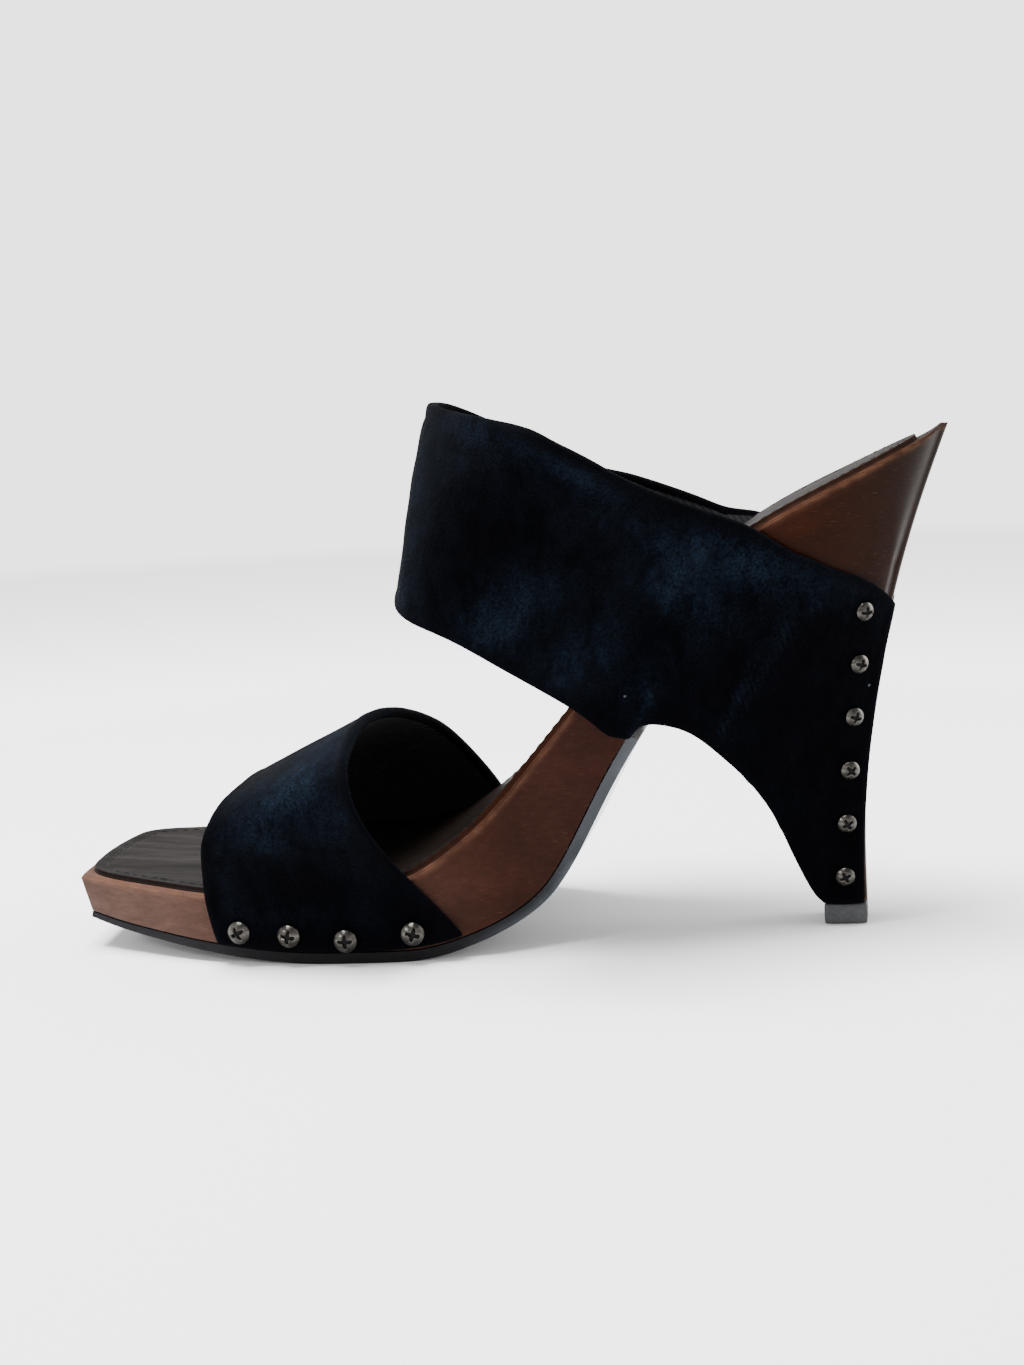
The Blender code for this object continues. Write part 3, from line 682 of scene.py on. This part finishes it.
def velvetStrap(nodeName, folds, paintedLightPatches, bumps, screws, velvet, lining, settings, seed):
    # A strap with rolled edges, creases, uneven padding and the dips that its screws make
    shape = mergedCopy(nodeName)
    sharp = radians(settings["sharp"])
    outer, inner = faceRegions(shape, sharp)[:2]
    edges = sharpEdges(shape, sharp)
    points = edgePoints(edges, edgeStep)
    for face in inner:
        face.material_index = 1
    outerTree, facing = faceTree(outer)
    innerTree, _ = faceTree(inner)
    bmesh.ops.bevel(shape, geom=edges, offset=settings["edgeWidth"] / 1000, segments=3,
                    profile=0.5, affect="EDGES", clamp_overlap=True, material=0)
    piece = toPiece(shape, nodeName + "_piece", settings["levels"])
    mesh = piece.data
    mesh.materials.append(velvet)
    mesh.materials.append(lining)
    markEdgeBand(mesh, points, settings["edgeBandWidth"])

    spot = places(mesh)
    out, share = outwardAt(mesh, outerTree, facing, innerTree, settings["wallFade"])
    high = settings["lumps"] * softNoise(spot, settings["lumpSize"], seed)
    nap, dull, creaseHighlights = np.zeros((3, len(spot)))
    medial = np.clip(-spot[:, 1] * 1000 / settings["medialFrom"], 0, 1)
    # Lighter listed patches are painted sheen, darker ones painted shade
    for patch in paintedLightPatches:
        if patch[3] > 0:
            nap += patchShare(spot, patch) * medial
        else:
            dull += patchShare(spot, patch) * medial
    for fold in folds:
        near = np.exp(-(lineDistance(spot, fold["line"]) / fold["width"]) ** 2) * medial
        high += fold["high"] * near
        # Ridges without a listed amount get a faint painted highlight
        creaseHighlights += fold.get("light", 0.12 if fold["high"] > 0 else 0.0) * near
    edgeFar = distanceTo(mesh, points) * 1000
    high += settings["roll"] * np.exp(-((edgeFar - settings["rollAt"]) / settings["rollWidth"]) ** 2)
    high -= settings["groove"] * np.exp(-((edgeFar - settings["grooveAt"]) / settings["grooveWidth"]) ** 2)
    for place in screws:
        distance = np.linalg.norm(spot - np.array(place), axis=1) * 1000
        high -= settings["pull"] * np.exp(-(distance / settings["pullWidth"]) ** 2)
    held = np.where(high < 0, 0.6, 1.0)     # troughs go in less than ridges stand out
    moved = spot + out * (high * held * share / 1000)[:, None]
    for middle, step, width in bumps:
        near = np.linalg.norm(spot[:, [0, 2]] * 1000 - np.array(middle), axis=1) / width
        near = np.exp(-near ** 2) * medial
        moved += np.outer(near, np.array((step[0], 0, step[1])) / 1000)
    move(mesh, moved)
    # Painted sheen, dimmed by the painted shade, with the ridges' painted highlights
    nap = nap * np.exp(-2 * dull) + creaseHighlights
    markValue(mesh, "nap", np.clip(nap, 0, 1))
    markValue(mesh, "dull", np.clip(dull, 0, 1))
    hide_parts(nodeName)
    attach(piece, "root")


# Screws


def screwPlace(nodeName):
    # Centre of a head's flat back, and the direction it faces
    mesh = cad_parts[nodeName].data
    groups = {}
    for face in mesh.polygons:
        key = tuple(round(part, 2) for part in face.normal)
        groups.setdefault(key, []).append(face)
    back = max(groups.values(), key=lambda faces: sum(face.area for face in faces))
    area = sum(face.area for face in back)
    centre = Vector((0, 0, 0))
    for face in back:
        centre += face.center * face.area / area
    return centre, -back[0].normal


def screwHead(settings):
    # Domed head with a cross recess, by a grid of rings whose height is pressed in
    shape = bmesh.new()
    radius, height = settings["radius"], settings["height"]
    segments, rings = settings["segments"], settings["rings"]
    recess = shape.verts.layers.float.new("recess")

    def spot(share, angle):
        x, y = radius * share * cos(angle), radius * share * sin(angle)
        z = settings["rim"] + (height - settings["rim"]) * (1 - share ** 2.2)
        sunk = 0.0
        for a, b in ((abs(x), abs(y)), (abs(y), abs(x))):
            arm = settings["crossHalf"] * (1.25 - 0.35 * a)      # the arms narrow outwards
            inside = min((settings["crossReach"] - a) / settings["crossEnd"],
                         (arm - b) / settings["crossSide"])
            sunk = max(sunk, min(1, max(0, inside + 0.5)))
        z -= settings["crossDepth"] * sunk * (1 - 0.45 * share)
        return (x, y, z), sunk

    def corner(place, sunk=0.0):
        vertex = shape.verts.new([part / 1000 for part in place])
        vertex[recess] = sunk
        return vertex

    loops = []
    for ring in range(1, rings * 2 + 1):
        share = ring / (rings * 2)
        loops.append([corner(*spot(share, 2 * pi * n / segments)) for n in range(segments)])
    loops.append([corner((radius * cos(2 * pi * n / segments), radius * sin(2 * pi * n / segments), 0))
                  for n in range(segments)])
    middle = corner(*spot(0, 0))
    base = corner((0, 0, 0))
    for n in range(segments):
        after = (n + 1) % segments
        shape.faces.new((middle, loops[0][n], loops[0][after]))
        for inner, outer in zip(loops, loops[1:]):
            shape.faces.new((inner[n], outer[n], outer[after], inner[after]))
        shape.faces.new((loops[-1][after], loops[-1][n], base))
    bmesh.ops.recalc_face_normals(shape, faces=shape.faces)
    return madeObject(shape, "screw_head")


def scatterTree(name, shape, material):
    # Geometry Nodes: one copy of a shape on each point, turned by the point's own turn
    tree = bpy.data.node_groups.new(name, "GeometryNodeTree")
    face = tree.interface
    face.new_socket("Geometry", in_out="INPUT", socket_type="NodeSocketGeometry")
    size = face.new_socket("Size", in_out="INPUT", socket_type="NodeSocketFloat")
    face.new_socket("Geometry", in_out="OUTPUT", socket_type="NodeSocketGeometry")
    nodes, links = tree.nodes, tree.links
    entry, leave = nodes.new("NodeGroupInput"), nodes.new("NodeGroupOutput")
    source = nodes.new("GeometryNodeObjectInfo")
    source.inputs["Object"].default_value = shape
    turn = nodes.new("GeometryNodeInputNamedAttribute")
    turn.data_type = "FLOAT_VECTOR"
    turn.inputs["Name"].default_value = "turn"
    put = nodes.new("GeometryNodeInstanceOnPoints")
    real = nodes.new("GeometryNodeRealizeInstances")
    finish = nodes.new("GeometryNodeSetMaterial")
    finish.inputs["Material"].default_value = material
    links.new(entry.outputs["Geometry"], put.inputs["Points"])
    links.new(source.outputs["Geometry"], put.inputs["Instance"])
    links.new(turn.outputs["Attribute"], put.inputs["Rotation"])
    links.new(entry.outputs["Size"], put.inputs["Scale"])
    links.new(put.outputs["Instances"], real.inputs["Geometry"])
    links.new(real.outputs["Geometry"], finish.inputs["Geometry"])
    links.new(finish.outputs["Geometry"], leave.inputs["Geometry"])
    return tree, size.identifier


def copiesOf(name, spots, turns, shape, material, scale=1.0):
    mesh = bpy.data.meshes.new(name)
    mesh.from_pydata([tuple(spot) for spot in spots], [], [])
    turn = mesh.attributes.new("turn", "FLOAT_VECTOR", "POINT")
    turn.data.foreach_set("vector", [part for angles in turns for part in angles])
    piece = bpy.data.objects.new(name, mesh)
    bpy.context.scene.collection.objects.link(piece)
    tree, size = scatterTree(name + "_tree", shape, material)
    dress = piece.modifiers.new("Copies", "NODES")
    dress.node_group = tree
    dress[size] = scale
    applied(piece)
    bpy.data.objects.remove(shape)
    piece.data.materials.clear()
    piece.data.materials.append(material)
    return piece


def addScrews(part, settings, material):
    # The heads of one strap; gives back where they sit
    names = sorted(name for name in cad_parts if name.startswith(part + "_screw_"))
    rng = np.random.default_rng(settings["seed"])
    spots, turns = [], []
    for name in names:
        centre, facing = screwPlace(name)
        spin = Matrix.Rotation(rng.uniform(0, pi / 2), 4, "Z")
        turn = facing.to_track_quat("Z", "Y").to_matrix().to_4x4() @ spin
        spots.append(centre)
        turns.append(turn.to_euler())
    size = settings[part + "Size"]
    piece = copiesOf(part + "_screw_heads", spots, turns, screwHead(settings), material, size)
    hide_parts(*names)
    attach(piece, "root")
    return spots


# Insole


def topOutline(shape, angle):
    # Closed loop of points round the sheet's upper face
    regions = faceRegions(shape, angle)[:2]
    top = max(regions, key=lambda region: sum(face.normal.z * face.calc_area() for face in region))
    inside = set(top)
    following = {}
    for face in top:
        for loop in face.loops:
            if all(other in inside for other in loop.edge.link_faces):
                continue
            following[loop.vert] = loop.link_loop_next.vert
    start = next(iter(following))
    line, vertex = [start.co.copy()], following[start]
    while vertex is not start:
        line.append(vertex.co.copy())
        vertex = following[vertex]
    return line


def insetLine(line, inset):
    # The outline moved inwards in plan, with its own height kept
    area = sum(a.x * b.y - b.x * a.y for a, b in zip(line, line[1:] + line[:1]))
    turn = 1 if area > 0 else -1
    moved = []
    for number, point in enumerate(line):
        run = line[(number + 1) % len(line)] - line[number - 1]
        level = Vector((run.x, run.y, 0)).normalized()
        moved.append(point + Vector((-level.y, level.x, 0)) * turn * inset)
    return moved


def evenly(line, step):
    # Points at equal steps along a closed line
    closed = line + line[:1]
    lengths = np.cumsum([0] + [(b - a).length for a, b in zip(closed, closed[1:])])
    count = int(lengths[-1] / step)
    spots = []
    for distance in np.arange(count) * lengths[-1] / count:
        index = min(np.searchsorted(lengths, distance, side="right") - 1, len(line) - 1)
        share = (distance - lengths[index]) / (lengths[index + 1] - lengths[index])
        spots.append(closed[index].lerp(closed[index + 1], share))
    return spots


def stitchShape(settings):
    # One stitch: a short thread, thick in the middle and bent down at its ends
    shape = bmesh.new()
    half, radius = settings["stitchLength"] / 2000, settings["stitchRadius"] / 1000
    sides, steps = 8, 6
    rings = []
    for step in range(steps + 1):
        share = step / steps * 2 - 1
        thick = radius * (1 - 0.45 * share ** 4)
        drop = -radius * 1.1 * share ** 4
        rings.append([shape.verts.new((half * share, thick * cos(2 * pi * n / sides),
                                       drop + thick * sin(2 * pi * n / sides))) for n in range(sides)])
    for first, second in zip(rings, rings[1:]):
        for n in range(sides):
            shape.faces.new((first[n], first[(n + 1) % sides], second[(n + 1) % sides], second[n]))
    shape.faces.new(rings[0][::-1])
    shape.faces.new(rings[-1])
    bmesh.ops.recalc_face_normals(shape, faces=shape.faces)
    return madeObject(shape, "stitch")


def addInsole(settings, leather, thread):
    # The seam follows the outline, whose corners are eased first
    shape = mergedCopy("insole")
    outline = topOutline(shape, radians(settings["sharp"]))
    shape.free()
    smoothLine = evenly(outline, 0.002)
    for _ in range(3):
        smoothLine = [(a + b * 2 + c) / 4 for a, b, c in
                      zip(smoothLine[-1:] + smoothLine[:-1], smoothLine, smoothLine[1:] + smoothLine[:1])]
    seam = insetLine(smoothLine, settings["stitchInset"] / 1000)
    piece = roundedCopy("insole", settings)
    piece.data.materials.append(leather)
    mesh = piece.data

    # The thread is pulled into a shallow groove
    spot = places(mesh)
    facing = directions(mesh)
    far = distanceTo(mesh, evenly(seam, seamStep)) * 1000
    deep = settings["grooveDepth"] * np.exp(-(far / settings["grooveWidth"]) ** 2)
    upper = facing[:, 2] > 0.2
    move(mesh, spot - facing * (deep * upper / 1000)[:, None])

    # Outside the stitches the leather is pressed darker
    inside = distanceTo(mesh, evenly(smoothLine, seamStep)) * 1000
    border = np.clip((settings["borderInset"] - inside) / settings["borderFade"], 0, 1)
    markValue(mesh, "border", border * upper)

    # The underside beds into the wood, so that no light passes below it
    down = np.clip(-2 * facing[:, 2], 0, 1) * settings["bedded"] / 1000
    move(mesh, places(mesh) + facing * down[:, None])
    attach(piece, "root")

    # Stitches lie along the groove
    spots = evenly(seam, settings["stitchPitch"] / 1000)
    surface = surfaceOf(mesh)
    turns, seated = [], []
    for number, place in enumerate(spots):
        run = (spots[(number + 1) % len(spots)] - spots[number - 1]).normalized()
        lies, up, _, _ = surface.find_nearest(place)
        side = up.cross(run).normalized()
        over = run.cross(side).normalized()
        turns.append(Matrix((run, side, over)).transposed().to_euler())
        seated.append(lies - over * settings["stitchSunk"] / 1000)
    stitches = copiesOf("insole_stitches", seated, turns, stitchShape(settings), thread)
    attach(stitches, "root")


# Stage


def addStage(settings):
    # Pale round floor whose rim curves up on all sides, so that no hard horizon shows
    shape = bmesh.new()
    sides = settings["sides"]
    turns = [2 * pi * n / sides for n in range(sides)]
    rings = [[shape.verts.new((radius * cos(turn), radius * sin(turn), height)) for turn in turns]
             for radius, height in settings["rim"]]
    middle = shape.verts.new((0, 0, 0))
    for n in range(sides):
        after = (n + 1) % sides
        shape.faces.new((middle, rings[0][n], rings[0][after]))
        for low, high in zip(rings, rings[1:]):
            shape.faces.new((low[n], high[n], high[after], low[after]))
    floor = madeObject(shape, "floor")

    # Near the shoe the lamps light it, further out it glows, most behind the shoe
    paint = Paint("floor")
    away = paint.add("ShaderNodeVectorMath", operation="LENGTH")
    paint.join(paint.coordinates, away.inputs[0])
    far = away.outputs["Value"]
    glow = paint.span(far, 0.35, 1.25, 0.06, 2.9)
    glow = paint.math("MULTIPLY", glow, paint.span(paint.along("Y"), -0.6, 0.35, 0.42, 1.0))
    pale = paint.mix(paint.span(far, 0.45, 1.10), (0.92, 0.92, 0.92, 1), (0, 0, 0, 1))
    paint.set(Base_Color=pale, Roughness=0.9, Specular_IOR_Level=0.0,
              Emission_Color=(1, 1, 1, 1), Emission_Strength=glow)
    floor.data.materials.append(paint.material)


def addLights(settings):
    world = bpy.data.worlds.new("studio")
    bpy.context.scene.world = world
    world.use_nodes = True
    around = world.node_tree.nodes["Background"]
    around.inputs["Color"].default_value = (1, 1, 1, 1)
    around.inputs["Strength"].default_value = settings["around"]
    for lamp in settings["lamps"]:
        light = bpy.data.lights.new(lamp["name"], "AREA")
        light.shape = "RECTANGLE"
        light.size, light.size_y = lamp["size"]
        light.energy = lamp["power"]
        item = bpy.data.objects.new(lamp["name"], light)
        item.location = lamp["place"]
        look = Vector(lamp["aim"]) - Vector(lamp["place"])
        item.rotation_euler = look.to_track_quat("-Z", "Y").to_euler()
        bpy.context.scene.collection.objects.link(item)


def addCamera(settings):
    data = bpy.data.cameras.new("camera")
    data.lens = settings["lens"]
    data.clip_start = 0.01
    camera = bpy.data.objects.new("camera", data)
    bpy.context.scene.collection.objects.link(camera)
    place, aim = metres(*settings["place"]), metres(*settings["aim"])
    look = (aim - place).to_track_quat("-Z", "Y").to_matrix().to_4x4()
    turn = Matrix.Rotation(radians(settings["turn"]), 4, "Z")
    camera.matrix_world = Matrix.Translation(place) @ look @ turn
    bpy.context.scene.camera = camera


# The shoe

finishes = {
    "wood": woodFinish(), "velvet": velvetFinish(), "lining": liningFinish(),
    "leather": leatherFinish(), "outsole": outsoleFinish(), "lift": liftFinish(),
    "nickel": nickelFinish(), "thread": threadFinish(),
}
print("finishes ready")

for nodeName, settings, finish, slotName in (
        ("wood_sole", wood, "wood", "wood"),
        ("outsole", rubber, "outsole", "sole_black"),
        ("top_lift", lift, "lift", "lift_rubber")):
    piece = roundedCopy(nodeName, settings)
    piece.data.materials.append(finishes[finish])
    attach(piece, "root")
    print(nodeName, "ready")

addInsole(insole, finishes["leather"], finishes["thread"])
print("insole ready")

screwSpots = [spot for part in ("front", "heel") for spot in addScrews(part, screw, finishes["nickel"])]
print("screws ready")

for nodeName, folds, paintedLightPatches, bumps, seed in (
        ("front_strap", frontFolds, frontSheenAndShade, [], 3),
        ("instep_strap", instepFolds, instepSheenAndShade, instepBumps, 5)):
    velvetStrap(nodeName, folds, paintedLightPatches, bumps, screwSpots, finishes["velvet"],
                finishes["lining"], strap, seed)
print("straps ready")

addStage(stage)
addLights(stage)
addCamera(view)

print("stage ready")
